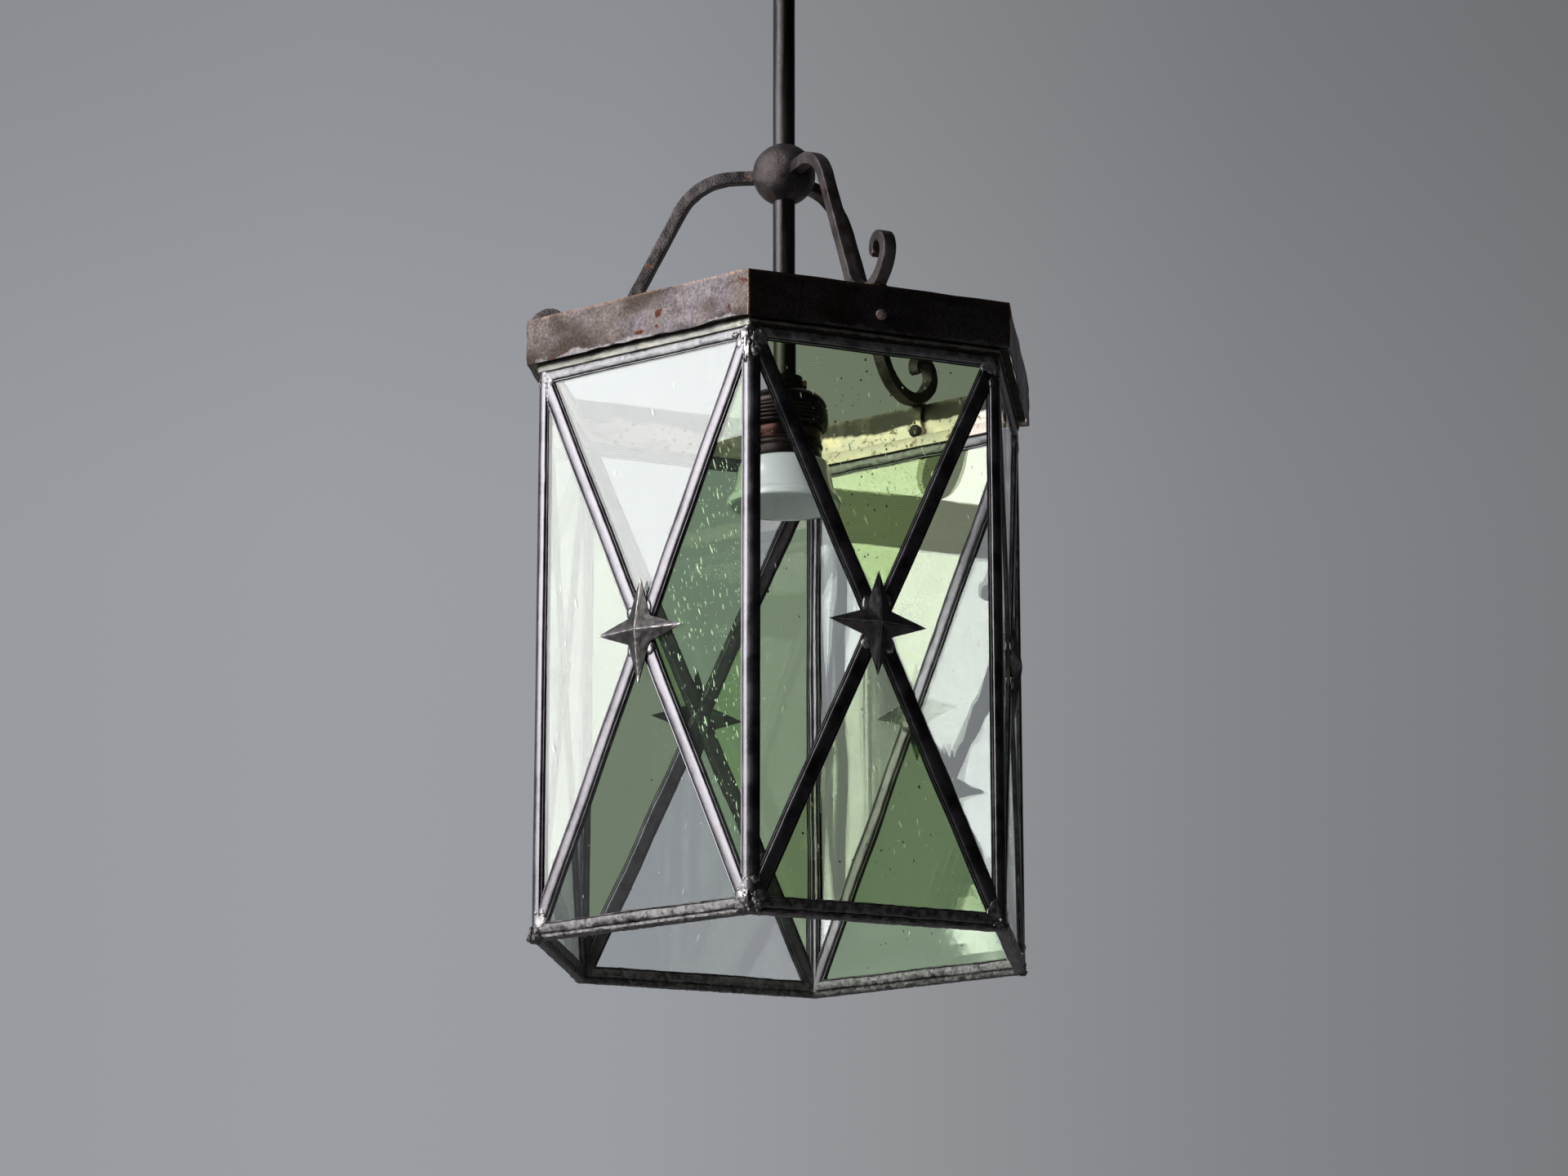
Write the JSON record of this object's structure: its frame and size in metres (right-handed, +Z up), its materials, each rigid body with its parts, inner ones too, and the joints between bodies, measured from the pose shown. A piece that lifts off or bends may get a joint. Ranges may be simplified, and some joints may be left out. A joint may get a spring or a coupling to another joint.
{
  "type": "hanging lantern",
  "caption": "Six-sided hanging lantern of leaded clear and green glass under a riveted metal band, on three scrolled iron arms, with a porcelain lampholder inside",
  "frame": {"origin": "Middle of the ceiling plate's flat upper face, where the lantern meets the ceiling. All of the lantern hangs below it.", "axes": "+Z up, out of the plate into the ceiling. -Y is square to panel 1, which carries arm 1. +X is the horizontal at its right, seen from in front of panel 1."},
  "size_m": [0.2846, 0.2584, 0.6165],
  "materials": {
    "steel": "satin",
    "forged_iron": "satin",
    "aged_band": "satin",
    "pale_bead": "satin",
    "lead_came": "satin",
    "pewter_star": "satin",
    "copper": "satin",
    "dark_brass": "satin",
    "bright_brass": "polished",
    "porcelain": "gloss",
    "clear_glass": "gloss",
    "pale_glass": "gloss",
    "green_glass": "gloss",
    "olive_glass": "gloss"
  },
  "bodies": {
    "ceiling": {"ceiling_plate": "steel", "ceiling_hook": "steel"},
    "link": {"hanging_link": "steel"},
    "lantern": {"stem_eye": "forged_iron", "stem_tube": "forged_iron", "ball": "forged_iron", "top_band": "aged_band", "top_rim": "pale_bead", "bottom_rim": "lead_came", "arm_1": "forged_iron", "foot_rivet_1": "copper", "arm_2": "forged_iron", "foot_rivet_2": "copper", "arm_3": "forged_iron", "foot_rivet_3": "copper", "panel_frame_1": "lead_came", "star_1": "pewter_star", "pane_1_top": "green_glass", "pane_1_right": "clear_glass", "pane_1_bottom": "olive_glass", "pane_1_left": "clear_glass", "panel_frame_2": "lead_came", "star_2": "pewter_star", "pane_2_top": "clear_glass", "pane_2_right": "pale_glass", "pane_2_bottom": "pale_glass", "pane_2_left": "clear_glass", "panel_frame_3": "lead_came", "star_3": "pewter_star", "pane_3_top": "green_glass", "pane_3_right": "pale_glass", "pane_3_bottom": "pale_glass", "pane_3_left": "clear_glass", "panel_frame_4": "lead_came", "star_4": "pewter_star", "pane_4_top": "clear_glass", "pane_4_right": "green_glass", "pane_4_bottom": "clear_glass", "pane_4_left": "green_glass", "panel_frame_5": "lead_came", "star_5": "pewter_star", "pane_5_top": "pale_glass", "pane_5_right": "green_glass", "pane_5_bottom": "pale_glass", "pane_5_left": "green_glass", "panel_frame_6": "lead_came", "star_6": "pewter_star", "pane_6_top": "clear_glass", "pane_6_right": "green_glass", "pane_6_bottom": "clear_glass", "pane_6_left": "pale_glass", "holder_cap": "dark_brass", "porcelain_insert": "porcelain", "thread_shell": "bright_brass"},
    "canopy": {"canopy": "aged_band"},
    "canopy_screw": {"canopy_screw": "bright_brass"},
    "holder_screw": {"holder_screw": "bright_brass"},
    "holder_shell": {"holder_shell": "copper"},
    "shade_ring": {"shade_ring": "porcelain"},
    "centre_contact": {"centre_contact": "bright_brass"}
  },
  "joints": [
    {"name": "link_swing", "type": "hinge", "parent": "ceiling", "child": "link", "pos_m": [0, 0, -0.028], "axis": [1, 0, 0], "range_deg": [-4, 4]},
    {"name": "lantern_swing", "type": "hinge", "parent": "link", "child": "lantern", "pos_m": [0, 0, -0.04745], "axis": [0, 1, 0], "range_deg": [-4, 4]},
    {"name": "canopy_slide", "type": "slide", "parent": "lantern", "child": "canopy", "axis": [0, 0, -1], "range_m": [0, 0.09]},
    {"name": "canopy_screw_turn", "type": "hinge", "parent": "canopy", "child": "canopy_screw", "pos_m": [0, -0.01, -0.0745], "axis": [0, -1, 0], "range_deg": [0, 720]},
    {"name": "holder_screw_turn", "type": "hinge", "parent": "lantern", "child": "holder_screw", "pos_m": [0.00866, -0.005, -0.3149], "axis": [0.866, -0.5, 0], "range_deg": [0, 720]},
    {"name": "holder_shell_turn", "type": "hinge", "parent": "lantern", "child": "holder_shell", "pos_m": [0, 0, -0.35], "axis": [0, 0, -1], "range_deg": [0, 720]},
    {"name": "shade_ring_turn", "type": "hinge", "parent": "holder_shell", "child": "shade_ring", "pos_m": [0, 0, -0.37], "axis": [0, 0, -1], "range_deg": [0, 1080]},
    {"name": "contact_press", "type": "slide", "parent": "lantern", "child": "centre_contact", "axis": [0, 0, 1], "range_m": [0, 0.002], "stiffness_N_per_m": 800}
  ]
}
